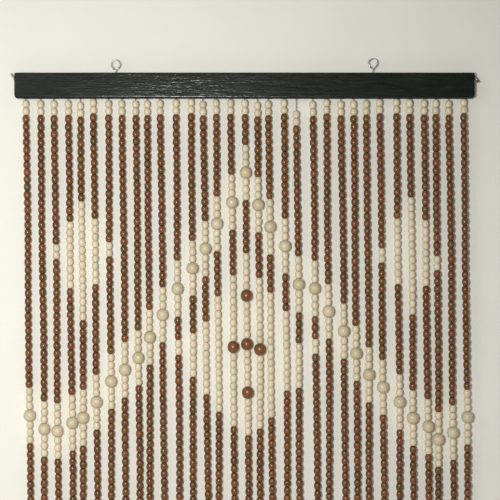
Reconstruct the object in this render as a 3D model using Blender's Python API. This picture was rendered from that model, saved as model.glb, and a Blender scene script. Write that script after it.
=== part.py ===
"""Wooden bead curtain for a doorway: strings of turned beads under a painted header rail.

Metres, +Z up. X runs along the rail, the curtain faces -Y, and the origin is the middle of the
line on which the two screw eyes rest, at the top of their holes.
"""

import math
from collections import namedtuple
from itertools import groupby

import bmesh
import bpy
from mathutils import Matrix, Vector

MM = 0.001
GAP = 0.3 * MM

# Header rail: a planed slat with soft edges, its lower corners rounder than its upper ones
RAIL_LONG, RAIL_TALL, RAIL_DEEP = 900 * MM, 50 * MM, 16 * MM
TOP_CORNER, BOTTOM_CORNER = 3 * MM, 6 * MM
BOTTOM_ARRIS, TOP_ARRIS = 4 * MM, 1.6 * MM
CORNER_STEPS, ARRIS_STEPS = 4, 3

# Groove in the rail's underside and the strip in it that the strings are fixed to
GROOVE_LONG, GROOVE_DEEP, GROOVE_TALL = 876 * MM, 9 * MM, 7 * MM

# Screw eyes: a wire ring drawn in to a shank. The right one is screwed in less far.
WIRE = 2.4 * MM
RING_RADIUS = 8.6 * MM
NECK_DROP = 1.45 * RING_RADIUS
NECK_BEND = 1.5 * MM
RING_OPEN = 3.2 * MM
SHANK_LONG = 20 * MM
RING_STEPS = 28
Eye = namedtuple("Eye", "across over_rail")
EYES = {"left": Eye(-252.5 * MM, 16.8 * MM), "right": Eye(251.5 * MM, 19.4 * MM)}

# Pins driven askew into the rail's ends: which way out, how far below the rail's top, degrees off
# the vertical, length outside the rail, and whether the head or the blunt tip shows
PIN_RADIUS, PIN_TIP, PIN_POINT = 2 * MM, 1 * MM, 0.8 * MM
PIN_HEAD, PIN_HEAD_LONG, PIN_HEAD_SLOPE = 2.8 * MM, 2 * MM, 0.6 * MM
PIN_TIP_LONG = 3 * MM
PIN_POINT_LONG = 2 * MM
PIN_IN_RAIL = 5 * MM
PIN_SIDES = 8
Pin = namedtuple("Pin", "out drop lean long head")
PINS = {"left": Pin(-1, 13 * MM, -32, 15 * MM, False), "right": Pin(1, 6.5 * MM, 144, 14 * MM, True)}

# Holes for the shanks and pins, and how far their cutters reach past the surface
HOLE_SIDES = 12
CUT_PAST = 6 * MM

# Big beads: height, and half width of the solid that stands for one. Its faces are full width
# between a shoulder's share of the height from each end. Small cream beads are a little shorter
# than the small brown ones.
Big = namedtuple("Big", "tall half")
BIG_BEADS = {"C": Big(22.6 * MM, 10.6 * MM), "B": Big(23.2 * MM, 10.6 * MM)}
BIG_SHOULDER = 0.22
CREAM_SHARE = 0.97

# Strings: half widths of the solid along small beads, at their ends, along bare thread and at the knot
SMALL_HALF, NECK_HALF, THREAD_HALF, KNOT_HALF = 5.8 * MM, 4.4 * MM, 1 * MM, 2 * MM
STRING_DROP = 1750 * MM
SHOULDER = 3 * MM
THREAD_SHOWS = 0.6 * MM
KNOT_LONG, KNOT_WIDEST = 5 * MM, 1.6 * MM
ROOT_WIDE = 5 * MM
PLAIN_STEP = 220 * MM

# A slow sway down each string, which has its full width from some way down
SWAY, SWAY_PITCH, SWAY_FROM = 0.8 * MM, 620 * MM, 290 * MM
SWAY_PHASE = 2.4

REST_OVER_RAIL = sum(eye.over_rail for eye in EYES.values()) / 2 + RING_RADIUS - WIRE / 2
RAIL_TOP = -REST_OVER_RAIL
RAIL_BOTTOM = RAIL_TOP - RAIL_TALL

# One row for each string, left to right: its place from the rail's left end, the bare thread over
# its first bead and the mean height of its brown beads, in mm, how far it leans to the right at the
# top, in mm for each metre down, and its beads from the rail down to where the pattern turns.
# c is a small cream bead, b a small brown one, C and B are the big ones.
String = namedtuple("String", "across bare bead lean chart")
STRINGS = (
    String(21, 3.6, 14.82, 15, "2c 36b 3c C 3c"),
    String(50, 3.8, 14.75, 13, "2c 38b 3c C 3c"),
    String(76, 4.2, 14.85, 15, "2c 17b 2c 19b 3c C 3c"),
    String(104, 3.5, 14.91, 15, "2c 14b 9c 14b 3c C 3c"),
    String(128, 6.7, 15.03, 11, "2c 11b 16c 9b 3c C 3c"),
    String(153, 0.8, 14.71, 14, "2c 14b 9c 12b 3c C 3c"),
    String(183, 3.5, 14.65, 10, "2c 17b 2c 13b 3c C 3c"),
    String(209, 3.7, 14.80, 14, "2c 30b 3c C 3c"),
    String(236, 4.6, 14.53, 14, "2c 29b 3c C 3c"),
    String(259, 4.4, 14.64, 10, "2c 26b 3c C 3c"),
    String(284, 2.9, 14.69, 14, "2c 23b 3c C 3c"),
    String(315, 1.9, 15.05, 12, "2c 19b 3c C 3c 3b 2c"),
    String(345, 0.8, 14.65, 8, "2c 17b 3c C 3c 5b 6c"),
    String(368, 5.1, 14.72, 16, "2c 14b 3c C 3c 6b 10c"),
    String(394, 2.0, 14.62, 10, "2c 11b 3c C 3c 6b 16c"),
    String(422, 2.0, 14.77, 14, "2c 8b 3c C 3c 6b 9c B 10c"),
    String(450, 2.5, 14.79, 12, "2c 4b 3c C 3c 7b 5c B 5c B 5c B 5c"),
    String(475, 6.8, 14.77, 10, "2c 8b 3c C 3c 6b 9c B 10c"),
    String(496, 4.4, 14.85, 13, "2c 11b 3c C 3c 5b 17c"),
    String(527, 1.4, 14.64, 11, "2c 14b 3c C 3c 5b 11c"),
    String(551, 23.8, 15.04, 12, "2c 17b 3c C 3c 4b 6c"),
    String(583, 5.6, 14.88, 15, "2c 19b 3c C 3c 3b 2c"),
    String(610, 1.6, 14.50, 11, "2c 23b 3c C 3c"),
    String(638, 4.9, 14.71, 16, "2c 25b 3c C 3c"),
    String(663, 4.5, 14.70, 13, "2c 28b 3c C 3c"),
    String(688, 3.5, 14.67, 11, "2c 31b 3c C 3c"),
    String(714, 1.2, 14.63, 15, "2c 18b 2c 13b 3c C 3c"),
    String(747, 0.8, 14.70, 12, "2c 14b 9c 12b 3c C 3c"),
    String(773, 1.8, 14.80, 14, "2c 11b 16c 10b 3c C 3c"),
    String(801, 3.2, 14.74, 15, "2c 14b 9c 15b 3c C 3c"),
    String(824, 2.6, 14.59, 11, "2c 19b 2c 19b 3c C 3c"),
    String(849, 4.0, 14.57, 18, "2c 39b 3c C 3c"),
    String(879, 0.8, 14.61, 13, "2c 37b 3c C 3c"),
)


def material(name, colour, roughness, metallic=0.0):
    made = bpy.data.materials.new(name)
    made.use_nodes = True
    shader = made.node_tree.nodes["Principled BSDF"]
    shader.inputs["Base Color"].default_value = (*colour, 1)
    shader.inputs["Roughness"].default_value = roughness
    shader.inputs["Metallic"].default_value = metallic
    return made


def place(name, data, finish):
    piece = bpy.data.objects.new(name, data)
    bpy.context.scene.collection.objects.link(piece)
    data.materials.append(finish)
    return piece


def mesh_of(name, shape):
    bmesh.ops.recalc_face_normals(shape, faces=shape.faces)
    mesh = bpy.data.meshes.new(name)
    shape.to_mesh(mesh)
    shape.free()
    return mesh


def add_box(shape, low, high):
    size = Vector(high) - Vector(low)
    centre = (Vector(high) + Vector(low)) / 2
    bmesh.ops.create_cube(shape, size=1, matrix=Matrix.Translation(centre) @ Matrix.Diagonal((*size, 1)))


def add_tube(shape, rings, capped=True):
    """A tube through rings of points, each ring listed the same way round. Its first end may stay open."""
    loops = [[shape.verts.new(point) for point in ring] for ring in rings]
    for upper, lower in zip(loops, loops[1:]):
        for i, corner in enumerate(upper):
            j = (i + 1) % len(upper)
            shape.faces.new((corner, upper[j], lower[j], lower[i]))
    shape.faces.new(loops[-1])
    if capped:
        shape.faces.new(loops[0])
    return loops[0]


def circle(centre, radius, sides):
    turns = (2 * math.pi * i / sides for i in range(sides))
    return [Vector(centre) + Vector((radius * math.cos(t), radius * math.sin(t), 0)) for t in turns]


def helper(name, shape):
    """A shape that only serves a Boolean."""
    made = bpy.data.objects.new(name, mesh_of(name, shape))
    bpy.context.scene.collection.objects.link(made)
    made.hide_render = True
    made.display_type = "WIRE"
    return made


def boolean(piece, other, operation):
    modifier = piece.modifiers.new(other.name, "BOOLEAN")
    modifier.object = other
    modifier.operation = operation


def rail_outline():
    """The rail's front outline, with a round corner at each end, above and below."""
    half = RAIL_LONG / 2
    corners = (
        (half, RAIL_TOP, TOP_CORNER, 0),
        (-half, RAIL_TOP, TOP_CORNER, 1),
        (-half, RAIL_BOTTOM, BOTTOM_CORNER, 2),
        (half, RAIL_BOTTOM, BOTTOM_CORNER, 3),
    )
    points = []
    for x, z, radius, quarter in corners:
        middle_x = x - math.copysign(radius, x)
        middle_z = z - radius if quarter < 2 else z + radius
        for step in range(CORNER_STEPS + 1):
            turn = math.radians(90) * (quarter + step / CORNER_STEPS)
            points.append((middle_x + radius * math.cos(turn), middle_z + radius * math.sin(turn)))
    return points


def pin_matrix(pin):
    """A pin's own +Z points out of the rail's end, its origin where its axis meets the end face."""
    point = Vector((pin.out * RAIL_LONG / 2, 0, RAIL_TOP - pin.drop))
    return Matrix.Translation(point) @ Matrix.Rotation(math.radians(pin.lean), 4, "Y")


def rail(paint):
    outline = rail_outline()
    shape = bmesh.new()
    weight = shape.edges.layers.float.new("bevel_weight_edge")
    front = [shape.verts.new((x, -RAIL_DEEP / 2, z)) for x, z in outline]
    face = shape.faces.new(front)
    moved = bmesh.ops.extrude_face_region(shape, geom=[face])["geom"]
    back = [item for item in moved if isinstance(item, bmesh.types.BMVert)]
    bmesh.ops.translate(shape, verts=back, vec=(0, RAIL_DEEP, 0))
    middle = (RAIL_TOP + RAIL_BOTTOM) / 2
    for edge in shape.edges:
        start, end = (vert.co for vert in edge.verts)
        if abs(start.y - end.y) < GAP:
            above = (start.z + end.z) / 2 > middle
            edge[weight] = TOP_ARRIS / BOTTOM_ARRIS if above else 1
    piece = place("rail", mesh_of("rail", shape), paint)
    bevel = piece.modifiers.new("arrises", "BEVEL")
    bevel.limit_method = "WEIGHT"
    bevel.width = BOTTOM_ARRIS
    bevel.segments = ARRIS_STEPS

    cuts = bmesh.new()
    half_long, half_deep = GROOVE_LONG / 2, GROOVE_DEEP / 2
    low = (-half_long, -half_deep, RAIL_BOTTOM - CUT_PAST)
    add_box(cuts, low, (half_long, half_deep, RAIL_BOTTOM + GROOVE_TALL))
    for eye in EYES.values():
        top = (eye.across, 0, RAIL_TOP + CUT_PAST)
        bottom = (eye.across, 0, shank_foot(eye) - GAP)
        add_tube(cuts, [circle(point, WIRE / 2 + GAP, HOLE_SIDES) for point in (top, bottom)])
    for pin in PINS.values():
        seat = pin_matrix(pin)
        hole = [circle((0, 0, z), PIN_RADIUS + GAP, HOLE_SIDES) for z in (-PIN_IN_RAIL - GAP, CUT_PAST)]
        add_tube(cuts, [[seat @ point for point in ring] for ring in hole])
    boolean(piece, helper("rail_cuts", cuts), "DIFFERENCE")
    piece.data.shade_smooth()
    piece.data.set_sharp_from_angle(angle=math.radians(35))
    return piece


def neck_height(eye):
    return RAIL_TOP + eye.over_rail - NECK_DROP


def shank_foot(eye):
    return neck_height(eye) - SHANK_LONG


def eye_route(eye):
    """The wire's middle line: up the shank, into the neck, round the ring and back to the neck."""
    neck = Vector((0, 0, neck_height(eye)))
    foot = math.acos(RING_RADIUS / NECK_DROP)
    first, last = -math.pi / 2 + foot, 1.5 * math.pi - foot
    ring = []
    for step in range(RING_STEPS + 1):
        turn = first + (last - first) * step / RING_STEPS
        x, z = RING_RADIUS * math.cos(turn), RING_RADIUS * math.sin(turn)
        ring.append(Vector((x, 0, RAIL_TOP + eye.over_rail + z)))
    leg = (ring[0] - neck).normalized()
    back = (ring[-1] - neck).normalized()
    below = Vector((0, 0, -NECK_BEND))
    shank = [Vector((0, 0, shank_foot(eye))), neck + below]
    turn_in = [neck + leg * NECK_BEND / 4 + below / 5, neck + leg * NECK_BEND]
    return shank + turn_in + ring + [neck + back * RING_OPEN]


def screw_eye(side, steel):
    curve = bpy.data.curves.new("eye_" + side, "CURVE")
    curve.dimensions = "3D"
    curve.bevel_depth = WIRE / 2
    curve.bevel_resolution = 2
    curve.use_fill_caps = True
    route = eye_route(EYES[side])
    spline = curve.splines.new("POLY")
    spline.points.add(len(route) - 1)
    for point, place_at in zip(spline.points, route):
        point.co = (*place_at, 1)
    piece = place("eye_" + side, curve, steel)
    piece.location.x = EYES[side].across
    return piece


def pin_profile(pin):
    """(distance out of the rail's end, radius) from the point inside the rail to the end that shows."""
    inside = [(-PIN_IN_RAIL, PIN_POINT), (PIN_POINT_LONG - PIN_IN_RAIL, PIN_RADIUS)]
    if pin.head:
        neck = pin.long - PIN_HEAD_LONG
        return inside + [(neck, PIN_RADIUS), (neck + PIN_HEAD_SLOPE, PIN_HEAD), (pin.long, PIN_HEAD)]
    return inside + [(pin.long - PIN_TIP_LONG, PIN_RADIUS), (pin.long, PIN_TIP)]


def end_pin(side, steel):
    """The left one shows its blunt tip, the right one its head."""
    shape = bmesh.new()
    add_tube(shape, [circle((0, 0, z), radius, PIN_SIDES) for z, radius in pin_profile(PINS[side])])
    piece = place("end_pin_" + side, mesh_of("end_pin_" + side, shape), steel)
    piece.matrix_world = pin_matrix(PINS[side])
    return piece


def runs(chart):
    """(bead letter, how many) for each run of a chart."""
    return [(word[-1], int(word[:-1] or 1)) for word in chart.split()]


def height(letter, row):
    if letter in BIG_BEADS:
        return BIG_BEADS[letter].tall
    return row.bead * MM * (CREAM_SHARE if letter == "c" else 1)


def all_beads(row):
    """Every bead's letter down a string: its chart, a plain brown middle, and the chart upside down."""
    chart = [letter for letter, count in runs(row.chart) for _ in range(count)]
    charted = sum(height(letter, row) for letter in chart)
    middle = round((STRING_DROP - row.bare * MM - 2 * charted) / (row.bead * MM))
    return chart + ["b"] * middle + chart[::-1]


def hang_at(number, row, depth):
    """Where a string's middle is at a depth under the rail. Its lean fades until it ends up plumb."""
    fall = STRING_DROP + KNOT_LONG
    lean = row.lean * MM * depth * (1 - depth / (2 * fall))
    swing = min(1, depth / SWAY_FROM)
    phase = SWAY_PHASE * number
    x = row.across * MM - RAIL_LONG / 2 + lean
    x += swing * SWAY * math.sin(2 * math.pi * depth / SWAY_PITCH + phase)
    y = swing * SWAY * math.sin(math.pi * depth / SWAY_PITCH + 2 * phase)
    return Vector((x, y, RAIL_BOTTOM - depth))


def small_run(top, bottom):
    """(depth, half width) down a run of small beads, drawn in at both ends."""
    steps = max(1, round((bottom - top) / PLAIN_STEP))
    low, high = top + SHOULDER, bottom - SHOULDER
    plain = [(low + (high - low) * step / steps, SMALL_HALF) for step in range(steps + 1)]
    return [(top, NECK_HALF), *plain, (bottom, NECK_HALF)]


def big_bead(top, bead):
    """(depth, half width) down a big bead, between the necks of the runs beside it."""
    return [(top + share * bead.tall, bead.half) for share in (BIG_SHOULDER, 1 - BIG_SHOULDER)]


def string_profile(row):
    """(depth, half width) down a string: thread, runs of small beads, big beads and the knot."""
    depth = row.bare * MM
    profile = [(-GAP, THREAD_HALF), (depth - GAP, THREAD_HALF)]
    for big, run in groupby(all_beads(row), key=BIG_BEADS.__contains__):
        run = list(run)
        tall = sum(height(letter, row) for letter in run)
        profile += big_bead(depth, BIG_BEADS[run[0]]) if big else small_run(depth, depth + tall)
        depth += tall
    profile += [(depth + THREAD_SHOWS, THREAD_HALF), (depth + KNOT_WIDEST, KNOT_HALF)]
    profile.append((depth + KNOT_LONG, THREAD_HALF))
    return profile


def square(middle, half):
    turns = ((-1, -1), (1, -1), (1, 1), (-1, 1))
    return [middle + Vector((half * x, half * y, 0)) for x, y in turns]


def strings(wood):
    """The strip in the groove, as one bar with a thread drawn out of its underside at each string."""
    shape = bmesh.new()
    half_deep = GROOVE_DEEP / 2 - GAP
    low, high = RAIL_BOTTOM + GAP, RAIL_BOTTOM + GROOVE_TALL - GAP

    def station(x):
        corners = ((-half_deep, low), (half_deep, low), (half_deep, high), (-half_deep, high))
        return [shape.verts.new((x, y, z)) for y, z in corners]

    def join(left, right, whole=True):
        """The bar's sides between two stations, its underside only where it is whole."""
        for i in range(0 if whole else 1, 4):
            j = (i + 1) % 4
            shape.faces.new((left[i], left[j], right[j], right[i]))

    end = station(-GROOVE_LONG / 2 + GAP)
    shape.faces.new(end)
    for number, row in enumerate(STRINGS):
        rings = [square(hang_at(number, row, depth), half) for depth, half in string_profile(row)]
        root = add_tube(shape, rings, capped=False)
        middle = row.across * MM - RAIL_LONG / 2
        left, right = station(middle - ROOT_WIDE / 2), station(middle + ROOT_WIDE / 2)
        join(end, left)
        join(left, right, whole=False)
        rim = (left[0], right[0], right[1], left[1])
        for i in range(4):
            j = (i + 1) % 4
            shape.faces.new((rim[i], rim[j], root[j], root[i]))
        end = right
    last = station(GROOVE_LONG / 2 - GAP)
    join(end, last)
    shape.faces.new(last)
    return place("strings", mesh_of("strings", shape), wood)


def main():
    for old in list(bpy.data.objects):
        bpy.data.objects.remove(old)
    paint = material("green black paint", (0.018, 0.024, 0.02), 0.35)
    steel = material("zinc plated steel", (0.62, 0.63, 0.62), 0.35, 1)
    dull = material("dark pins", (0.07, 0.08, 0.07), 0.5, 0.6)
    wood = material("bead wood", (0.22, 0.085, 0.04), 0.35)
    rail(paint)
    for side in EYES:
        screw_eye(side, steel)
        end_pin(side, dull)
    strings(wood)


main()
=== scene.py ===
import math
import random
from collections import namedtuple
from itertools import groupby

import bmesh
import bpy
import numpy as np
from mathutils import Matrix, Vector, noise


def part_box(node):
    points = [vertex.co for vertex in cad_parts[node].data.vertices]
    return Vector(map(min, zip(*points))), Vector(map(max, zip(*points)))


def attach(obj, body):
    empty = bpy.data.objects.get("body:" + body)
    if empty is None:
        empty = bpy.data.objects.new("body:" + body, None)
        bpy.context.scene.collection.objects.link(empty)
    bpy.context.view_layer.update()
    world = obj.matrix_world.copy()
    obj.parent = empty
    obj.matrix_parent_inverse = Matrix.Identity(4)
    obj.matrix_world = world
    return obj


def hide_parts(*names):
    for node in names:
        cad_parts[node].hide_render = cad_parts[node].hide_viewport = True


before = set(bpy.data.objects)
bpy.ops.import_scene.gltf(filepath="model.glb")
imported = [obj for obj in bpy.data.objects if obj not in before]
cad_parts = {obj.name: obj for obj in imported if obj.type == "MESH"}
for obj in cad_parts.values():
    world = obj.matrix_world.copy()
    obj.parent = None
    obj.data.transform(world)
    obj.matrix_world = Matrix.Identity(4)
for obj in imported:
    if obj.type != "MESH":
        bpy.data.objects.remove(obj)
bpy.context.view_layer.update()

MM = 0.001
GAP = 0.3 * MM

# Header rail, from the frame, with its corners, arrises and groove
RAIL_LOW, RAIL_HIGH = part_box("rail")
RAIL_HALF_LONG = (RAIL_HIGH.x - RAIL_LOW.x) / 2
RAIL_HALF_DEEP = RAIL_HIGH.y
RAIL_TOP, RAIL_BOTTOM = RAIL_HIGH.z, RAIL_LOW.z
TOP_CORNER, BOTTOM_CORNER = 3 * MM, 6 * MM
TOP_ARRIS, BOTTOM_ARRIS, END_ARRIS = 1.6 * MM, 3.4 * MM, 2 * MM
GROOVE_LONG, GROOVE_DEEP, GROOVE_TALL = 876 * MM, 9 * MM, 7 * MM

# How finely the rail is cut: steps round its arrises and over its front, top, back and underside,
# and its cross-sections, which lie closer together near the ends
BOTTOM_ARRIS_STEPS, TOP_ARRIS_STEPS = 6, 4
FACE_STEPS = (30, 6, 14, 4)
SECTION_STEP = 3 * MM
END_SECTIONS = [distance * MM for distance in (0, 0.12, 0.45, 1.0, 1.7, 2.6, 3.6, 4.8, 6.0)]

# Brush marks and hollows in the rail's faces: weight, length along the rail, width round it, slant
# and layer of noise. The underside, whose normal points down past this limit, has none.
Mark = namedtuple("Mark", "weight long wide slant layer")
MARKS = (
    Mark(0.8, 55 * MM, 9.5 * MM, 0.09, 3.1),
    Mark(0.4, 21 * MM, 5.2 * MM, -0.14, 8.7),
    Mark(1.0, 110 * MM, 30 * MM, 0, 5.5),
)
MARK_DEEP = 0.16 * MM
UNDERSIDE_NORMAL = -0.8

# Screw eyes: a wire ring drawn in to a shank. The curve of the neck is in shares of its bend, up the
# ring's side and down the shank. The right eye is screwed in less far.
WIRE, WIRE_SIDES = 2.4 * MM, 14
RING_RADIUS, RING_STEPS = 8.6 * MM, 72
RING_OPEN = 3.2 * MM
NECK_DROP = 1.45 * RING_RADIUS
NECK_BEND = 1.5 * MM
NECK_CURVE = ((0.1, 0.45), (0.42, 0.08), (1, 0))
SHANK_LONG, SHANK_STEPS = 20 * MM, 110
SHANK_POINT, SHANK_TIP_SHARE = 3 * MM, 0.15
SCREW_PITCH, SCREW_CUT, SCREW_OVER_RAIL = 1.3 * MM, 0.24, 1.5 * MM
Eye = namedtuple("Eye", "across over_rail")
EYES = {"left": Eye(-252.5 * MM, 16.8 * MM), "right": Eye(251.5 * MM, 19.4 * MM)}

# Pins driven askew into the rail's ends, each with a point inside the rail, soft edges and slight
# dents
PIN_RADIUS, PIN_TIP, PIN_POINT = 2 * MM, 1 * MM, 0.8 * MM
PIN_HEAD, PIN_HEAD_LONG, PIN_HEAD_SLOPE = 2.8 * MM, 2 * MM, 0.6 * MM
PIN_TIP_LONG, PIN_TIP_TAPER = 3 * MM, (0.97, 0.8)
PIN_POINT_LONG = 2 * MM
PIN_IN_RAIL = 5 * MM
PIN_SOFT = 0.35 * MM
PIN_SIDES = 20
PIN_DENT, PIN_DENT_LONG = 0.05, 2 * MM

# Each pin: which way out, how far below the rail's top, degrees off the vertical, length outside the
# rail, whether the head or the blunt tip shows, and how little of the rail's paint has run over it
Pin = namedtuple("Pin", "out drop lean long head bare")
PINS = {
    "left": Pin(-1, 13 * MM, -32, 15 * MM, False, 0.62),
    "right": Pin(1, 6.5 * MM, 144, 14 * MM, True, 0.42),
}

# Holes for the shanks and pins, and how far their cutters reach past the surface
HOLE_SIDES = 20
CUT_PAST = 6 * MM

# Angles past which an edge stays sharp
RAIL_SHARP, PIN_SHARP, STRIP_SHARP = (math.radians(angle) for angle in (40, 50, 30))

# The strip in the groove that the threads are fixed to, with edges softened and a slight sag
STRIP_SOFT, STRIP_STEPS = 0.5 * MM, 120
STRIP_SAG, STRIP_SAG_LONG = 0.12 * MM, 30 * MM

# Threads: two plies where the thread shows, plain and coarser inside the beads. Each starts over the
# rail's underside, is plied a little way into the first bead, and ends in a knot with a tail, whose
# size and points are in mm.
THREAD_RADIUS = 0.75 * MM
PLY_TWIST, PLY_VALLEY, PLY_SWELL = 3.2 * MM, 0.78, 0.3
PLIED_SIDES, HIDDEN_SIDES, KNOT_SIDES = 10, 5, 6
THREAD_OVER, THREAD_INTO, THREAD_PAST = 1 * MM, 3 * MM, 0.6 * MM
THREAD_STEP, THREAD_STEPS_LEAST = 0.45 * MM, 6
BEADS_A_STEP = 3
KNOT_LONG, KNOT_BELOW, KNOT_STEPS = 5 * MM, 2.6 * MM, 26
KNOT_SIZE = (0.5, 0.5, 0.8)
KNOT_TAIL = ((0.3, 0.3, -1.6), (0.8, 0.1, -3.4), (1.5, -0.3, -5.2))

# Strings: the big beads' heights, a small cream bead's height as a share of a brown one's, the drop
# to the last bead's lower end, and a sway out of line that is full from SWAY_FULL down
BIG_TALL = {"C": 22.6 * MM, "B": 23.2 * MM}
CREAM_SHARE = 0.97
STRING_DROP = 1750 * MM
SWAY, SWAY_PITCH, SWAY_FULL, SWAY_PHASE = 0.8 * MM, 620 * MM, 290 * MM, 2.4

# One row for each string, left to right: its place from the rail's left end, the bare thread over
# its first bead and the mean height of its brown beads, in mm, how far it leans to the right at the
# top, in mm for each metre down, and its beads from the rail down to where the pattern turns.
# c is a small cream bead, b a small brown one, C and B are the big ones.
String = namedtuple("String", "across bare bead lean chart")
STRINGS = (
    String(21, 3.6, 14.82, 15, "2c 36b 3c C 3c"),
    String(50, 3.8, 14.75, 13, "2c 38b 3c C 3c"),
    String(76, 4.2, 14.85, 15, "2c 17b 2c 19b 3c C 3c"),
    String(104, 3.5, 14.91, 15, "2c 14b 9c 14b 3c C 3c"),
    String(128, 6.7, 15.03, 11, "2c 11b 16c 9b 3c C 3c"),
    String(153, 0.8, 14.71, 14, "2c 14b 9c 12b 3c C 3c"),
    String(183, 3.5, 14.65, 10, "2c 17b 2c 13b 3c C 3c"),
    String(209, 3.7, 14.80, 14, "2c 30b 3c C 3c"),
    String(236, 4.6, 14.53, 14, "2c 29b 3c C 3c"),
    String(259, 4.4, 14.64, 10, "2c 26b 3c C 3c"),
    String(284, 2.9, 14.69, 14, "2c 23b 3c C 3c"),
    String(315, 1.9, 15.05, 12, "2c 19b 3c C 3c 3b 2c"),
    String(345, 0.8, 14.65, 8, "2c 17b 3c C 3c 5b 6c"),
    String(368, 5.1, 14.72, 16, "2c 14b 3c C 3c 6b 10c"),
    String(394, 2.0, 14.62, 10, "2c 11b 3c C 3c 6b 16c"),
    String(422, 2.0, 14.77, 14, "2c 8b 3c C 3c 6b 9c B 10c"),
    String(450, 2.5, 14.79, 12, "2c 4b 3c C 3c 7b 5c B 5c B 5c B 5c"),
    String(475, 6.8, 14.77, 10, "2c 8b 3c C 3c 6b 9c B 10c"),
    String(496, 4.4, 14.85, 13, "2c 11b 3c C 3c 5b 17c"),
    String(527, 1.4, 14.64, 11, "2c 14b 3c C 3c 5b 11c"),
    String(551, 23.8, 15.04, 12, "2c 17b 3c C 3c 4b 6c"),
    String(583, 5.6, 14.88, 15, "2c 19b 3c C 3c 3b 2c"),
    String(610, 1.6, 14.50, 11, "2c 23b 3c C 3c"),
    String(638, 4.9, 14.71, 16, "2c 25b 3c C 3c"),
    String(663, 4.5, 14.70, 13, "2c 28b 3c C 3c"),
    String(688, 3.5, 14.67, 11, "2c 31b 3c C 3c"),
    String(714, 1.2, 14.63, 15, "2c 18b 2c 13b 3c C 3c"),
    String(747, 0.8, 14.70, 12, "2c 14b 9c 12b 3c C 3c"),
    String(773, 1.8, 14.80, 14, "2c 11b 16c 10b 3c C 3c"),
    String(801, 3.2, 14.74, 15, "2c 14b 9c 15b 3c C 3c"),
    String(824, 2.6, 14.59, 11, "2c 19b 2c 19b 3c C 3c"),
    String(849, 4.0, 14.57, 18, "2c 39b 3c C 3c"),
    String(879, 0.8, 14.61, 13, "2c 37b 3c C 3c"),
)

# The beads' forms: radius in mm, sides round, rings up the outer side, width of the flat ends as a
# share of the radius, two powers for how full the middle and how square the shoulders are, and the
# shares by which heights and radii stray from the mean
Form = namedtuple("Form", "radius sides rings end fullness shoulder height_spread radius_spread")
FORMS = {
    "b": Form(6.9, 12, 7, 0.60, 2.2, 0.8, 0.1, 0.06),
    "c": Form(6.6, 12, 7, 0.60, 2.3, 0.8, 0.1, 0.06),
    "B": Form(11.6, 20, 13, 0.30, 2.0, 0.52, 0.02, 0.02),
    "C": Form(11.6, 20, 13, 0.30, 2.0, 0.52, 0.02, 0.02),
}

# The hole through a bead, how far up it goes straight as a share of the bead's height from its
# middle, and the gap between a bead and the next
HOLE_RADIUS, BORE_END = 1.25 * MM, 0.47
BEAD_GAP = 0.12 * MM

# How far beads sit askew on their thread, in degrees, and off its line
BEAD_TILT = 1.6
BEAD_SHIFT, BEAD_SHIFT_MOST = 0.18 * MM, 0.35 * MM

# Mean tone and its spread, mean shade and its spread, and the shade of a bead's ends: stain or
# varnish that gathers there, and painted shade where beads meet
Tone = namedtuple("Tone", "tone tone_spread shade shade_spread end_shade")
TONES = {
    "b": Tone(0.5, 0.15, 1.02, 0.2, 0.5),
    "c": Tone(0.55, 0.17, 1.02, 0.08, 0.87),
    "B": Tone(0.45, 0.1, 1.12, 0.08, 0.6),
    "C": Tone(0.2, 0.2, 0.9, 0.06, 0.82),
}

# Seeds of the random draws. Each string and finish adds a number of its own.
HEIGHT_SEED, BEAD_SEED = 100, 500

# Share of a bead's cell in the texture that stays free along each side
CELL_MARGIN = 0.04

# The two bead woods: the colour at each tone, strength of the grain, roughness, varnish and the tint
# of the gloss
Wood = namedtuple("Wood", "tones grain roughness coat gloss_tint")
BROWN = Wood(
    (
        (0.0, (0.116, 0.062, 0.018)),
        (0.3, (0.158, 0.073, 0.021)),
        (0.62, (0.192, 0.071, 0.026)),
        (1.0, (0.208, 0.062, 0.031)),
    ),
    0.2, 0.36, 0.42, (1.0, 0.74, 0.54),
)
CREAM = Wood(
    (
        (0.0, (0.71, 0.60, 0.39)),
        (0.35, (0.73, 0.645, 0.46)),
        (0.65, (0.77, 0.655, 0.475)),
        (1.0, (0.77, 0.61, 0.455)),
    ),
    0.06, 0.44, 0.2, (1.0, 0.95, 0.84),
)

# Grain: the share at which noise is read up a bead, which draws it out into streaks, how fine the
# streaks and bands are, and how far apart in the noise two beads can lie
GRAIN_SQUEEZE = 0.14
STREAKS_FINE, BANDS_FINE = 1100.0, 260.0
SEED_STRIDE = 7.3

# Other colours
# The rail paint's lighter colours, in its patches and streaks, are partly the paint's own and partly
# painted sheen
PAINT_DEEP, PAINT_THIN_AND_SHEEN = (0.0012, 0.0040, 0.0016), (0.0035, 0.0085, 0.0045)
PAINT_STREAK_AND_SHEEN, PAINT_ON_PIN = (0.020, 0.027, 0.021), (0.014, 0.018, 0.015)
STEEL_DULL, STEEL_BRIGHT = (0.38, 0.40, 0.41), (0.66, 0.67, 0.67)
PIN_GREY = (0.50, 0.51, 0.50)
THREAD_DARK, THREAD_PALE = (0.045, 0.042, 0.03), (0.13, 0.12, 0.09)
WALL_COLOUR, FLOOR_COLOUR, STAGE_STAIN = (0.90, 0.895, 0.845), (0.80, 0.79, 0.77), (0.6, 0.58, 0.55)

# Where most of a noise's values lie
NOISE_RANGE = (0.3, 0.7)

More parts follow.
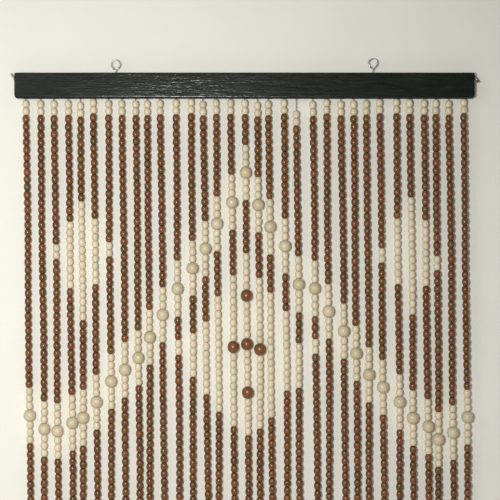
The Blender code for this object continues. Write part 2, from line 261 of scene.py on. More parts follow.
# Camera, stage and lights, in metres and watts. FRAME_WIDE is the picture's width at the rail.
CAMERA_AT = Vector((0.0107, -2.2, RAIL_TOP - 0.3465))
FRAME_WIDE = 0.9761
SENSOR_WIDE = 36
WALL_AT, WALL_TOP, WALL_HALF_WIDE = 0.019, 0.75, 1.6
FLOOR_AT, FLOOR_HALF_WIDE = -1.9, 12
SKY_COLOUR, SKY_STRENGTH = (1.0, 0.985, 0.93), 0.2
Lamp = namedtuple("Lamp", "form at aim size watts colour")
LAMPS = {
    "key": Lamp("DISK", (-0.229, -1.9, -0.33), (-1.15, 0, -0.95), 0.3, 29.5, (1.0, 0.985, 0.93)),
    "soft_left": Lamp("RECTANGLE", (-1.25, -1.5, 0.2), (-0.3, 0, -0.4), 0.9, 4.5, (0.97, 1.0, 0.99)),
}


# Node helpers

def finish_of(name, roughness, metallic=0.0, coat=0.0, coat_roughness=0.1, specular=0.5):
    made = bpy.data.materials.new(name)
    made.use_nodes = True
    shader = made.node_tree.nodes["Principled BSDF"]
    shader.inputs["Roughness"].default_value = roughness
    shader.inputs["Metallic"].default_value = metallic
    shader.inputs["Coat Weight"].default_value = coat
    shader.inputs["Coat Roughness"].default_value = coat_roughness
    shader.inputs["Specular IOR Level"].default_value = specular
    return made, made.node_tree, shader


def add(tree, kind, **values):
    """A node with these settings and sockets. A socket's name has spaces where the argument has _."""
    node = tree.nodes.new("ShaderNode" + kind)
    for name, value in values.items():
        socket = node.inputs.get(name.replace("_", " "))
        if socket is None:
            setattr(node, name, value)
        elif isinstance(value, bpy.types.NodeSocket):
            tree.links.new(value, socket)
        else:
            socket.default_value = value
    return node


def maths(tree, operation, first, second=0.0):
    node = tree.nodes.new("ShaderNodeMath")
    node.operation = operation
    for socket, value in zip(node.inputs, (first, second)):
        if isinstance(value, bpy.types.NodeSocket):
            tree.links.new(value, socket)
        else:
            socket.default_value = value
    return node.outputs[0]


def weighted(tree, *terms):
    """The sum of (value, weight) terms."""
    total = 0.0
    for value, weight in terms:
        total = maths(tree, "ADD", total, maths(tree, "MULTIPLY", value, weight))
    return total


def mix(tree, share, first, second, blend="MIX"):
    node = tree.nodes.new("ShaderNodeMix")
    node.data_type = "RGBA"
    node.blend_type = blend
    for socket, value in zip((node.inputs[0], node.inputs[6], node.inputs[7]), (share, first, second)):
        if isinstance(value, bpy.types.NodeSocket):
            tree.links.new(value, socket)
        elif isinstance(value, tuple):
            socket.default_value = (*value, 1)
        else:
            socket.default_value = value
    return node.outputs[2]


def ramp(tree, share, *stops):
    node = add(tree, "ValToRGB", Fac=share)
    band = node.color_ramp
    while len(band.elements) < len(stops):
        band.elements.new(0.5)
    for element, (place, colour) in zip(band.elements, stops):
        element.position = place
        element.color = (*colour, 1)
    return node.outputs["Color"]


def spread(tree, value, low, high, out_low, out_high):
    """The value moved from one range to another, and held within it."""
    node = add(tree, "MapRange", Value=value)
    ends = {"From Min": low, "From Max": high, "To Min": out_low, "To Max": out_high}
    for name, number in ends.items():
        node.inputs[name].default_value = number
    return node.outputs["Result"]


def stretched(tree, scale, turn=(0, 0, 0)):
    """The piece's own coordinates, scaled and turned."""
    place = add(tree, "TexCoord").outputs["Object"]
    node = add(tree, "Mapping", Vector=place, Scale=scale, Rotation=turn)
    return node.outputs["Vector"]


def noise_of(tree, scale, detail, turn=(0, 0, 0), roughness=0.5):
    """Noise of about so many waves a metre along each of the piece's own axes."""
    place = stretched(tree, scale, turn)
    node = add(tree, "TexNoise", Vector=place, Scale=1.0, Detail=detail, Roughness=roughness)
    return node.outputs["Fac"]


def bumped(tree, shader, height, strength, distance):
    node = add(tree, "Bump", Height=height, Strength=strength, Distance=distance)
    tree.links.new(node.outputs["Normal"], shader.inputs["Normal"])


# Materials

def bead_values(tree):
    """Each bead's own tone, its shade with painted shade at its ends, and its seed."""
    marks = add(tree, "Attribute", attribute_name="bead")
    parts = add(tree, "SeparateXYZ", Vector=marks.outputs["Vector"])
    return parts.outputs["X"], parts.outputs["Y"], parts.outputs["Z"]


def grain_of(tree, seed):
    """Fine streaks that run from end to end of a bead, and broader bands beside them."""
    shift = add(tree, "CombineXYZ", X=maths(tree, "MULTIPLY", seed, SEED_STRIDE), Y=seed)
    moved = add(tree, "VectorMath", operation="ADD")
    tree.links.new(stretched(tree, (1, 1, GRAIN_SQUEEZE)), moved.inputs[0])
    tree.links.new(shift.outputs["Vector"], moved.inputs[1])
    place = moved.outputs["Vector"]
    streaks = add(tree, "TexNoise", Vector=place, Scale=STREAKS_FINE, Detail=3.0, Roughness=0.62)
    bands = add(tree, "TexNoise", Vector=place, Scale=BANDS_FINE, Detail=1.0)
    return streaks.outputs["Fac"], bands.outputs["Fac"]


def bead_finish(name, wood):
    """Varnished wood. Gloss differs from bead to bead, and about one in ten is much glossier."""
    made, tree, shader = finish_of(name, wood.roughness, coat=wood.coat, coat_roughness=0.2, specular=0.45)
    shader.inputs["Specular Tint"].default_value = (*wood.gloss_tint, 1)
    tone, shade, seed = bead_values(tree)
    streaks, bands = grain_of(tree, seed)
    # Grain, each bead's own shade and the painted shade at its ends darken its colour
    grain_tone_and_end_shade = shade
    for grain, strength in ((streaks, wood.grain), (bands, wood.grain / 2)):
        depth = spread(tree, grain, *NOISE_RANGE, 1 - strength, 1 + strength)
        grain_tone_and_end_shade = maths(tree, "MULTIPLY", depth, grain_tone_and_end_shade)
    grey = add(tree, "CombineColor", Red=grain_tone_and_end_shade, Green=grain_tone_and_end_shade, Blue=grain_tone_and_end_shade).outputs["Color"]
    colour = mix(tree, 1.0, ramp(tree, tone, *wood.tones), grey, "MULTIPLY")
    tree.links.new(colour, shader.inputs["Base Color"])
    along_grain = spread(tree, streaks, *NOISE_RANGE, -0.06, 0.08)
    by_bead = spread(tree, seed, 0, 1, -0.09, 0.09)
    glossiest = spread(tree, seed, 0.86, 0.96, 0, -0.15)
    gloss = maths(tree, "ADD", maths(tree, "ADD", along_grain, by_bead), glossiest)
    tree.links.new(maths(tree, "ADD", gloss, wood.roughness), shader.inputs["Roughness"])
    bumped(tree, shader, streaks, 0.25, 0.12 * MM)
    return made


def paint_finish():
    """Green-black gloss paint, brushed on in streaks over wood. The lighter colour of its patches and
    streaks is partly painted sheen.
    """
    made, tree, shader = finish_of("rail paint", 0.3, coat=0.42, coat_roughness=0.19, specular=0.14)
    streaks = noise_of(tree, (26, 60, 210), 3.0, turn=(0, 0.06, 0), roughness=0.6)
    peel = noise_of(tree, (150, 260, 300), 2.0)
    fine = noise_of(tree, (70, 200, 900), 2.0, turn=(0, -0.04, 0))
    patches = noise_of(tree, (22, 60, 110), 4.0, roughness=0.6)
    # Lighter patches: thinner paint, and painted sheen
    colour = mix(tree, spread(tree, patches, 0.35, 0.7, 0, 1), PAINT_DEEP, PAINT_THIN_AND_SHEEN)
    # Lighter streaks: brush marks, and painted sheen
    colour = mix(tree, spread(tree, streaks, 0.5, 0.75, 0, 0.7), colour, PAINT_STREAK_AND_SHEEN)
    tree.links.new(colour, shader.inputs["Base Color"])
    gloss = weighted(tree, (fine, 0.5), (patches, 0.5))
    tree.links.new(spread(tree, gloss, 0.38, 0.62, 0.26, 0.55), shader.inputs["Roughness"])
    relief = weighted(tree, (streaks, 1.0), (peel, 0.38), (fine, 0.09))
    bumped(tree, shader, relief, 1.0, 0.46 * MM)
    tree.links.new(shader.inputs["Normal"].links[0].from_socket, shader.inputs["Coat Normal"])
    return made


def steel_finish():
    made, tree, shader = finish_of("zinc plated wire", 0.34, metallic=1.0)
    spangle = noise_of(tree, (420, 420, 420), 3.0)
    colour = ramp(tree, spangle, (0.3, STEEL_DULL), (0.7, STEEL_BRIGHT))
    tree.links.new(colour, shader.inputs["Base Color"])
    tree.links.new(spread(tree, spangle, *NOISE_RANGE, 0.26, 0.44), shader.inputs["Roughness"])
    bumped(tree, shader, spangle, 0.2, 0.1 * MM)
    return made


def pin_finish(name, bare):
    """Grey metal that the rail's paint has run over, more of it where bare is small."""
    made, tree, shader = finish_of(name, 0.4)
    runs_of_paint = noise_of(tree, (300, 300, 180), 3.0)
    share = spread(tree, runs_of_paint, bare - 0.08, bare + 0.08, 0, 1)
    tree.links.new(mix(tree, share, PIN_GREY, PAINT_ON_PIN), shader.inputs["Base Color"])
    tree.links.new(maths(tree, "SUBTRACT", 1.0, share), shader.inputs["Metallic"])
    bumped(tree, shader, runs_of_paint, 0.4, 0.2 * MM)
    return made


def thread_finish():
    made, tree, shader = finish_of("dark thread", 0.8, specular=0.2)
    fibres = noise_of(tree, (2600, 2600, 700), 2.0)
    colour = ramp(tree, fibres, (0.3, THREAD_DARK), (0.7, THREAD_PALE))
    tree.links.new(colour, shader.inputs["Base Color"])
    bumped(tree, shader, fibres, 0.5, 0.2 * MM)
    return made


# Mesh helpers

def mesh_piece(name, places, faces, finish):
    mesh = bpy.data.meshes.new(name)
    mesh.from_pydata(np.asarray(places).tolist(), [], [list(face) for face in faces])
    mesh.materials.append(finish)
    mesh.shade_smooth()
    piece = bpy.data.objects.new(name, mesh)
    bpy.context.scene.collection.objects.link(piece)
    return piece


def grid_faces(rings, sides, closed=False, start=0):
    """Quads between rings of points, facing out where the rings turn left round the way they run."""
    faces = []
    for lower in range(rings if closed else rings - 1):
        upper = (lower + 1) % rings
        for side in range(sides):
            beside = (side + 1) % sides
            quad = ((lower, side), (lower, beside), (upper, beside), (upper, side))
            faces.append(tuple(start + ring * sides + place for ring, place in quad))
    return faces


def capped_tube(rings, start=0):
    """Places and faces of a tube with both ends closed."""
    sides = len(rings[0])
    faces = grid_faces(len(rings), sides, start=start)
    faces.append(tuple(start + side for side in reversed(range(sides))))
    last = start + (len(rings) - 1) * sides
    faces.append(tuple(last + side for side in range(sides)))
    places = [point for ring in rings for point in ring]
    return places, faces


def along_route(route, outline):
    """Rings round a route. outline gives a ring's (angle, radius) pairs at a length from the start."""
    route = [Vector(point) for point in route]
    across = Vector((0, 1, 0))
    rings = []
    run = 0.0
    for i, point in enumerate(route):
        ahead = route[min(i + 1, len(route) - 1)] - route[max(i - 1, 0)]
        ahead.normalize()
        across = (across - ahead * across.dot(ahead)).normalized()
        third = ahead.cross(across)
        if i:
            run += (point - route[i - 1]).length
        ring = [point + (across * math.cos(a) + third * math.sin(a)) * radius for a, radius in outline(run)]
        rings.append(ring)
    return rings


def round_ring(radius, sides):
    return [(2 * math.pi * side / sides, radius) for side in range(sides)]


def place_piece(piece, *nodes, slot):
    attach(piece, "root")
    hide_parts(*nodes)


# Header rail

def inset(distance, radius):
    """How far a round corner of this radius lies in from the square one, at a distance from the end."""
    if distance >= radius:
        return 0.0
    return radius - math.sqrt(radius**2 - (radius - distance) ** 2)


def arc(y, z, radius, first, steps):
    """A quarter turn to the right round a centre, with its normals. first is in degrees."""
    turns = (math.radians(first - 90 * step / steps) for step in range(steps + 1))
    return [(y + radius * math.cos(t), z + radius * math.sin(t), math.cos(t), math.sin(t)) for t in turns]


def flat(start, end, steps):
    """Places between two arcs' ends, without the ends."""
    return [
        tuple(a + (b - a) * step / steps for a, b in zip(start, end))
        for step in range(1, steps)
    ]


def rail_section(half_deep, top, bottom):
    """(y, z, normal y, normal z) round the rail, from the underside up the front."""
    low, high = bottom + BOTTOM_ARRIS, top - TOP_ARRIS
    corners = (
        arc(-half_deep + BOTTOM_ARRIS, low, BOTTOM_ARRIS, 270, BOTTOM_ARRIS_STEPS),
        arc(-half_deep + TOP_ARRIS, high, TOP_ARRIS, 180, TOP_ARRIS_STEPS),
        arc(half_deep - TOP_ARRIS, high, TOP_ARRIS, 90, TOP_ARRIS_STEPS),
        arc(half_deep - BOTTOM_ARRIS, low, BOTTOM_ARRIS, 0, BOTTOM_ARRIS_STEPS),
    )
    points = []
    for corner, following, steps in zip(corners, (*corners[1:], corners[0]), FACE_STEPS):
        points += corner + flat(corner[-1], following[0], steps)
    return points


def rail_relief(x, run, normal_z):
    """Brush marks and a slight unevenness of the wood under the paint, none on the underside."""
    if normal_z <= UNDERSIDE_NORMAL:
        return 0.0
    depth = 0.0
    for mark in MARKS:
        place = Vector((x / mark.long, (run + mark.slant * x) / mark.wide, mark.layer))
        depth += mark.weight * noise.noise(place)
    return MARK_DEEP * depth


def rail_stations():
    """Where along the rail its cross-sections lie."""
    half = RAIL_HALF_LONG - END_SECTIONS[-1]
    steps = round(2 * half / SECTION_STEP)
    between = [-half + 2 * half * step / steps for step in range(1, steps)]
    left = [-RAIL_HALF_LONG + distance for distance in END_SECTIONS]
    right = [RAIL_HALF_LONG - distance for distance in reversed(END_SECTIONS)]
    return left + between + right


def rail_ring(x):
    """The points of the rail's cross-section at x, pressed in by the brush marks."""
    distance = RAIL_HALF_LONG - abs(x)
    section = rail_section(
        RAIL_HALF_DEEP - inset(distance, END_ARRIS),
        RAIL_TOP - inset(distance, TOP_CORNER),
        RAIL_BOTTOM + inset(distance, BOTTOM_CORNER),
    )
    run = 0.0
    ring = []
    before = section[0]
    for point in section:
        y, z, normal_y, normal_z = point
        run += math.dist(point[:2], before[:2])
        before = point
        away = min(0.0, rail_relief(x, run, normal_z))
        ring.append((x, y + normal_y * away, z + normal_z * away))
    return ring[::-1]


def rail_cutters():
    """The groove for the strip, and a hole for each shank and pin."""
    shape = bmesh.new()
    size = Matrix.Diagonal((GROOVE_LONG, GROOVE_DEEP, 2 * GROOVE_TALL, 1))
    bmesh.ops.create_cube(shape, size=1, matrix=Matrix.Translation((0, 0, RAIL_BOTTOM)) @ size)
    drills = []
    for eye in EYES.values():
        deep = RAIL_TOP - shank_foot(eye)
        drills.append((Matrix.Translation((eye.across, 0, RAIL_TOP)), WIRE / 2 + GAP, deep + GAP))
    for pin in PINS.values():
        drills.append((pin_matrix(pin), PIN_RADIUS + GAP, PIN_IN_RAIL + GAP))
    for seat, radius, deep in drills:
        centre = seat @ Matrix.Translation((0, 0, (CUT_PAST - deep) / 2))
        bmesh.ops.create_cone(
            shape, cap_ends=True, segments=HOLE_SIDES, radius1=radius, radius2=radius,
            depth=CUT_PAST + deep, matrix=centre,
        )
    mesh = bpy.data.meshes.new("rail_cuts")
    shape.to_mesh(mesh)
    shape.free()
    return bpy.data.objects.new("rail_cuts", mesh)


def make_rail(paint):
    places, faces = capped_tube([rail_ring(x) for x in rail_stations()])
    piece = mesh_piece("header_rail", places, faces, paint)
    cuts = rail_cutters()
    bpy.context.scene.collection.objects.link(cuts)
    modifier = piece.modifiers.new("cuts", "BOOLEAN")
    modifier.object = cuts
    modifier.operation = "DIFFERENCE"
    cut = bpy.data.meshes.new_from_object(piece.evaluated_get(bpy.context.evaluated_depsgraph_get()))
    piece.modifiers.clear()
    piece.data = cut
    bpy.data.objects.remove(cuts)
    cut.shade_smooth()
    cut.set_sharp_from_angle(angle=RAIL_SHARP)
    place_piece(piece, "rail", slot="rail_paint")


# Screw eyes and pins

def neck_height(eye):
    return RAIL_TOP + eye.over_rail - NECK_DROP


def shank_foot(eye):
    return neck_height(eye) - SHANK_LONG


def eye_route(eye):
    """The wire's middle line: up the shank, into the neck, round the ring and back to the neck."""
    neck = Vector((0, 0, neck_height(eye)))
    foot = math.acos(RING_RADIUS / NECK_DROP)
    first, last = -math.pi / 2 + foot, 1.5 * math.pi - foot
    ring = []
    for step in range(RING_STEPS + 1):
        turn = first + (last - first) * step / RING_STEPS
        x, z = RING_RADIUS * math.cos(turn), RING_RADIUS * math.sin(turn)
        ring.append(Vector((x, 0, RAIL_TOP + eye.over_rail + z)))
    leg = (ring[0] - neck).normalized()
    back = (ring[-1] - neck).normalized()
    below = Vector((0, 0, -NECK_BEND))
    bottom, top = Vector((0, 0, shank_foot(eye))), neck + below
    shank = [bottom.lerp(top, step / SHANK_STEPS) for step in range(SHANK_STEPS + 1)]
    turn_in = [neck + leg * NECK_BEND * up + below * down for up, down in NECK_CURVE]
    return shank + turn_in + ring + [neck + back * RING_OPEN]


def make_eye(side, steel):
    eye = EYES[side]
    threaded = RAIL_TOP - shank_foot(eye) + SCREW_OVER_RAIL

    def outline(run):
        """A cut thread up the shank, drawn to a point at its foot, and plain wire above."""
        ring = []
        for angle, radius in round_ring(WIRE / 2, WIRE_SIDES):
            if run < threaded:
                wave = 0.5 + 0.5 * math.cos(2 * math.pi * run / SCREW_PITCH - angle)
                radius *= 1 - SCREW_CUT * (1 - wave**3)
                radius *= min(1, SHANK_TIP_SHARE + run / SHANK_POINT)
            ring.append((angle, radius))
        return ring

    places, faces = capped_tube(along_route(eye_route(eye), outline))
    piece = mesh_piece("screw_eye_" + side, places, faces, steel)
    piece.location.x = eye.across
    place_piece(piece, "eye_" + side, slot="eye_steel")


def pin_matrix(pin):
    """A pin's own +Z points out of the rail's end, its origin where its axis meets the end face."""
    point = Vector((pin.out * RAIL_HALF_LONG, 0, RAIL_TOP - pin.drop))
    return Matrix.Translation(point) @ Matrix.Rotation(math.radians(pin.lean), 4, "Y")


def pin_profile(pin):
    """(distance out of the rail's end, radius) from the point inside the rail to the end that shows."""
    inside = [
        (-PIN_IN_RAIL, PIN_POINT / 2),
        (PIN_SOFT - PIN_IN_RAIL, PIN_POINT),
        (PIN_POINT_LONG - PIN_IN_RAIL, PIN_RADIUS),
        (0, PIN_RADIUS),
    ]
    if pin.head:
        neck = pin.long - PIN_HEAD_LONG
        return inside + [
            (neck / 2, PIN_RADIUS),
            (neck - PIN_SOFT, PIN_RADIUS),
            (neck, PIN_RADIUS + PIN_SOFT / 3),
            (neck + PIN_HEAD_SLOPE, PIN_HEAD),
            (pin.long - PIN_SOFT, PIN_HEAD),
            (pin.long, PIN_HEAD - PIN_SOFT),
        ]
    tip = pin.long - PIN_TIP_LONG
    return inside + [
        (tip / 2, PIN_RADIUS),
        (tip, PIN_RADIUS * PIN_TIP_TAPER[0]),
        (tip + PIN_TIP_LONG / 2, PIN_RADIUS * PIN_TIP_TAPER[1]),
        (pin.long - PIN_SOFT, PIN_TIP),
        (pin.long, PIN_TIP / 2),
    ]


def make_pin(side, metal):
    """The left one shows its blunt tip, the right one its head. Both are a little dented."""
    rings = []
    for out, radius in pin_profile(PINS[side]):
        ring = []
        for angle, _ in round_ring(1, PIN_SIDES):
            place = Vector((math.cos(angle), math.sin(angle), out / PIN_DENT_LONG))
            dented = radius * (1 + PIN_DENT * noise.noise(place))
            ring.append(Vector((dented * math.cos(angle), dented * math.sin(angle), out)))
        rings.append(ring)
    places, faces = capped_tube(rings)
    piece = mesh_piece("pin_" + side, places, faces, metal)
    piece.data.set_sharp_from_angle(angle=PIN_SHARP)
    piece.matrix_world = pin_matrix(PINS[side])
    place_piece(piece, "end_pin_" + side, slot="pin_metal")


# Strings

def height(letter, row):
    if letter in BIG_TALL:
        return BIG_TALL[letter]
    return row.bead * MM * (CREAM_SHARE if letter == "c" else 1)


def all_beads(row):
    """Every bead's letter down a string: its chart, a plain brown middle, and the chart upside down."""
    chart = []
    for word in row.chart.split():
        chart += word[-1] * int(word[:-1] or 1)
    charted = sum(height(letter, row) for letter in chart)
    middle = round((STRING_DROP - row.bare * MM - 2 * charted) / (row.bead * MM))
    return chart + ["b"] * middle + chart[::-1]


def hang_at(number, row, depth):
    """Where a string's middle is at a depth under the rail. Its lean fades until it ends up plumb."""
    fall = STRING_DROP + KNOT_LONG
    lean = row.lean * MM * depth * (1 - depth / (2 * fall))
    swing = SWAY * max(0, min(1, depth / SWAY_FULL))
    phase = SWAY_PHASE * number
    x = row.across * MM - RAIL_HALF_LONG + lean
    x += swing * math.sin(2 * math.pi * depth / SWAY_PITCH + phase)
    y = swing * math.sin(math.pi * depth / SWAY_PITCH + 2 * phase)
    return Vector((x, y, RAIL_BOTTOM - depth))


def spaced_beads(number, row):
    """(letter, depth of its upper end, of its lower end) for each bead. Heights vary within a run."""
    chance = random.Random(HEIGHT_SEED + number)
    depth = row.bare * MM
    spaced = []
    for letter, group in groupby(all_beads(row)):
        count = len(list(group))
        uneven = FORMS[letter].height_spread
        shares = [1 + chance.triangular(-uneven, uneven) for _ in range(count)]
        unit = height(letter, row) * count / sum(shares)
        for share in shares:
            spaced.append((letter, depth, depth + share * unit))
            depth += share * unit
    return spaced


# Beads

def bead_grid(form):
    """Points of one bead of unit radius and height with a hole through it, ring by ring."""
    profile = []
    for step in range(form.rings):
        up = -math.cos(math.pi * step / (form.rings - 1))
        out = form.end + (1 - form.end) * (1 - abs(up) ** form.fullness) ** form.shoulder
        profile.append((out, up / 2))
    bore = HOLE_RADIUS / (form.radius * MM)
    profile += [(bore, BORE_END), (bore, -BORE_END)]
    turns = np.arange(form.sides) * 2 * np.pi / form.sides
    out = np.array([point[0] for point in profile])[:, None]
    up = np.array([point[1] for point in profile])[:, None]
    return np.stack([out * np.cos(turns), out * np.sin(turns), up + 0 * turns], axis=-1)


GRIDS = {letter: bead_grid(form) for letter, form in FORMS.items()}


def off_line(chance):
    """How far a bead sits off its thread's line along one axis."""
    return max(-BEAD_SHIFT_MOST, min(BEAD_SHIFT_MOST, chance.gauss(0, BEAD_SHIFT)))


def bead_turn(chance, axis):
    """A bead's turn: its hole along the axis but a little askew, and any side to the front."""
    tilt = Matrix.Rotation(math.radians(chance.gauss(0, BEAD_TILT)), 3, "Y")
    tilt = tilt @ Matrix.Rotation(math.radians(chance.gauss(0, BEAD_TILT)), 3, "X")
    spin = Matrix.Rotation(chance.uniform(0, 2 * math.pi), 3, "Z")
    return Vector((0, 0, 1)).rotation_difference(axis).to_matrix() @ tilt @ spin


def bead_points(chance, letter, upper, lower, tall):
    """The points of one bead between two places on its string."""
    form = FORMS[letter]
    turn = bead_turn(chance, (upper - lower).normalized())
    radius = form.radius * MM * (1 + chance.triangular(-form.radius_spread, form.radius_spread))
    shift = Vector((off_line(chance), off_line(chance), 0))
    sized = GRIDS[letter] * np.array([radius, radius, tall])
    return sized.reshape(-1, 3) @ np.array(turn).T + np.array((upper + lower) / 2 + shift)


def bead_marks(chance, letter):
    """Tone, shade and seed at each point of one bead. The shade is darker towards its ends, for stain that
    gathers there and for painted shade where beads meet.
    """
    colour = TONES[letter]
    tone = min(1, max(0, chance.gauss(colour.tone, colour.tone_spread)))
    shade = colour.shade * (1 + colour.shade_spread * chance.triangular(-1, 1))
    seed = chance.random()
    ups = 2 * np.abs(GRIDS[letter][:, 0, 2])
    # Darker towards the ends: stain that gathers there, and painted shade where beads meet
    darker = 1 - (1 - colour.end_shade) * ups**3
    by_ring = np.array([(tone, shade * share, seed) for share in darker])
    return by_ring.repeat(FORMS[letter].sides, axis=0)


def cell_map(rings, sides, number, cells):
    """Each face corner's place in the texture: one cell of a square sheet for each bead."""
    column, line = number % cells, number // cells
    inside = 1 - 2 * CELL_MARGIN
    corners = []
    for i in range(rings):
        for j in range(sides):
            for down, turn in ((i, j), (i, j + 1), (i + 1, j + 1), (i + 1, j)):
                across = column + CELL_MARGIN + inside * turn / sides
                along = line + CELL_MARGIN + inside * down / rings
                corners.append((across / cells, along / cells))
    return corners


def make_beads(name, number, row, kinds, finish, slot):
    """All of a string's beads of one finish, as one mesh."""
    chance = random.Random(BEAD_SEED + 2 * number + (kinds == "bB"))
    wanted = [bead for bead in spaced_beads(number, row) if bead[0] in kinds]
    cells = math.ceil(math.sqrt(len(wanted)))
    places, marks, faces, corners = [], [], [], []
    start = 0
    for count, (letter, top, low) in enumerate(wanted):
        upper, lower = hang_at(number, row, top), hang_at(number, row, low)
        points = bead_points(chance, letter, upper, lower, low - top - BEAD_GAP)
        places.append(points)
        marks.append(bead_marks(chance, letter))
        rings, sides = GRIDS[letter].shape[:2]
        faces += grid_faces(rings, sides, closed=True, start=start)
        corners += cell_map(rings, sides, count, cells)
        start += len(points)
    piece = mesh_piece(name, np.concatenate(places), faces, finish)
    values = piece.data.attributes.new("bead", "FLOAT_VECTOR", "POINT")
    values.data.foreach_set("vector", np.concatenate(marks).ravel())
    piece.data.uv_layers.new(name="OFBake").uv.foreach_set("vector", np.array(corners).ravel())
    place_piece(piece, "strings", slot=slot)


# Threads and the strip that holds them

def plied(run):
    """A ring of the thread where it shows: two plies laid round each other."""
    twist = 2 * math.pi * run / PLY_TWIST
    ring = []
    for angle, radius in round_ring(THREAD_RADIUS, PLIED_SIDES):
        ring.append((angle, radius * (PLY_VALLEY + PLY_SWELL * abs(math.cos(angle - twist)))))
    return ring


def hidden(run):
    """A ring of the thread inside the beads, the same at any length."""
    return round_ring(THREAD_RADIUS, HIDDEN_SIDES)


def knotted(run):
    """A ring of the thread in its knot, the same at any length."""
    return round_ring(THREAD_RADIUS, KNOT_SIDES)


def knot_route(middle):
    """An overhand knot and its tail."""
    route = []
    for step in range(KNOT_STEPS + 1):
        turn = 2 * math.pi * step / KNOT_STEPS
        x = math.sin(turn) + 2 * math.sin(2 * turn)
        y = math.cos(turn) - 2 * math.cos(2 * turn)
        z = -math.sin(3 * turn)
        route.append(middle + Vector((x, y, z)) * Vector(KNOT_SIZE) * MM)
    return route + [middle + Vector(point) * MM for point in KNOT_TAIL]


def thread_routes(number, row):
    """(route, outline) of a thread's three stretches: over the first bead, in the beads, the knot."""
    beads = spaced_beads(number, row)
    first, last = beads[0][1], beads[-1][2]
    shown = THREAD_OVER + first + THREAD_INTO
    steps = max(THREAD_STEPS_LEAST, round(shown / THREAD_STEP))
    bare = [hang_at(number, row, shown * step / steps - THREAD_OVER) for step in range(steps + 1)]
    inner = [hang_at(number, row, beads[k][1]) for k in range(1, len(beads), BEADS_A_STEP)]
    inner.append(hang_at(number, row, last + THREAD_PAST))
    knot = knot_route(hang_at(number, row, last) - Vector((0, 0, KNOT_BELOW)))
    return (bare, plied), (inner, hidden), (knot, knotted)


def make_threads(fibre):
    """Every string's thread, from the strip through its beads to the knot, as one mesh."""
    places, faces = [], []
    for number, row in enumerate(STRINGS):
        for route, outline in thread_routes(number, row):
            more, quads = capped_tube(along_route(route, outline), start=len(places))
            places += more
            faces += quads
    piece = mesh_piece("threads", places, faces, fibre)
    place_piece(piece, "strings", slot="thread")


def make_strip(paint):
    """The strip in the groove that the threads are fixed to."""
    half_long = GROOVE_LONG / 2 - GAP
    half_deep = GROOVE_DEEP / 2 - GAP
    low, high = RAIL_BOTTOM + GAP, RAIL_BOTTOM + GROOVE_TALL - GAP
    outline = (
        (half_deep - STRIP_SOFT, low),
        (half_deep, low + STRIP_SOFT),
        (half_deep, high),
        (-half_deep, high),
        (-half_deep, low + STRIP_SOFT),
        (-half_deep + STRIP_SOFT, low),
    )
    rings = []
    for step in range(STRIP_STEPS + 1):
        x = -half_long + 2 * half_long * step / STRIP_STEPS
        sag = STRIP_SAG * (1 + noise.noise(Vector((x / STRIP_SAG_LONG, 0.5, 0.5))))
        rings.append([(x, y, z + (sag if z < high else 0)) for y, z in outline])
    places, faces = capped_tube(rings)
    piece = mesh_piece("thread_strip", places, faces, paint)
    piece.data.set_sharp_from_angle(angle=STRIP_SHARP)
    place_piece(piece, "strings", slot="rail_paint")


# Stage, lights and camera

def stage_plane(name, corners, colour, one_sided):
    """A wall or floor. A one-sided one can't be seen from behind."""
    made, tree, shader = finish_of(name, 0.9, specular=0.1)
    stain = spread(tree, noise_of(tree, (9, 9, 9), 4.0), *NOISE_RANGE, 0, 0.06)
    tree.links.new(mix(tree, stain, colour, STAGE_STAIN), shader.inputs["Base Color"])
    if one_sided:
        clear = add(tree, "BsdfTransparent")
        either = add(tree, "MixShader")
        tree.links.new(add(tree, "NewGeometry").outputs["Backfacing"], either.inputs[0])
        tree.links.new(shader.outputs[0], either.inputs[1])
        tree.links.new(clear.outputs[0], either.inputs[2])
        tree.links.new(either.outputs[0], tree.nodes["Material Output"].inputs["Surface"])
    mesh = bpy.data.meshes.new(name)
    mesh.from_pydata(corners, [], [(0, 1, 2, 3)])
    mesh.materials.append(made)
    plane = bpy.data.objects.new(name, mesh)
    bpy.context.scene.collection.objects.link(plane)


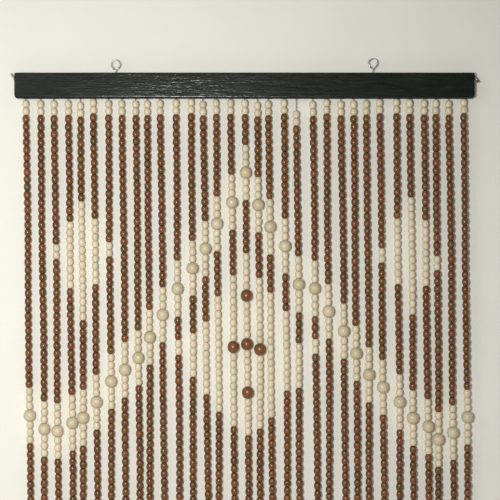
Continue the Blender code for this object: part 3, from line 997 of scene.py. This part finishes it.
def light(name, lamp):
    made = bpy.data.lights.new(name, "AREA")
    made.shape = lamp.form
    made.size = lamp.size
    made.size_y = lamp.size
    made.energy = lamp.watts
    made.color = lamp.colour
    placed = bpy.data.objects.new(name, made)
    placed.location = lamp.at
    placed.rotation_euler = (Vector(lamp.aim) - Vector(lamp.at)).to_track_quat("-Z", "Y").to_euler()
    placed.visible_camera = False
    bpy.context.scene.collection.objects.link(placed)


def make_stage():
    wide, far = WALL_HALF_WIDE, FLOOR_HALF_WIDE
    upright = ((-wide, FLOOR_AT), (wide, FLOOR_AT), (wide, WALL_TOP), (-wide, WALL_TOP))
    level = ((-far, -far), (far, -far), (far, far), (-far, far))
    stage_plane("wall", [(x, WALL_AT, z) for x, z in upright], WALL_COLOUR, True)
    stage_plane("floor", [(x, y, FLOOR_AT) for x, y in level], FLOOR_COLOUR, False)
    world = bpy.data.worlds.new("studio")
    world.use_nodes = True
    backdrop = world.node_tree.nodes["Background"]
    backdrop.inputs["Color"].default_value = (*SKY_COLOUR, 1)
    backdrop.inputs["Strength"].default_value = SKY_STRENGTH
    bpy.context.scene.world = world
    for name, lamp in LAMPS.items():
        light(name, lamp)


def make_camera():
    """A lens that takes in FRAME_WIDE at the rail's front."""
    lens = bpy.data.cameras.new("camera")
    lens.sensor_width = SENSOR_WIDE
    lens.lens = SENSOR_WIDE * (-RAIL_HALF_DEEP - CAMERA_AT.y) / FRAME_WIDE
    lens.clip_end = 60
    camera = bpy.data.objects.new("camera", lens)
    camera.location = CAMERA_AT
    camera.rotation_euler = (math.radians(90), 0, 0)
    bpy.context.scene.collection.objects.link(camera)
    bpy.context.scene.camera = camera


make_camera()
paint = paint_finish()
make_rail(paint)
make_strip(paint)
steel = steel_finish()
for side in EYES:
    make_eye(side, steel)
    make_pin(side, pin_finish("pin metal " + side, PINS[side].bare))
brown = bead_finish("brown bead wood", BROWN)
cream = bead_finish("cream bead wood", CREAM)
for number, row in enumerate(STRINGS):
    label = f"string_{number + 1:02d}"
    make_beads(label + "_brown", number, row, "bB", brown, "bead_brown")
    make_beads(label + "_cream", number, row, "cC", cream, "bead_cream")
make_threads(thread_finish())
make_stage()
bpy.context.scene.view_settings.view_transform = "Standard"
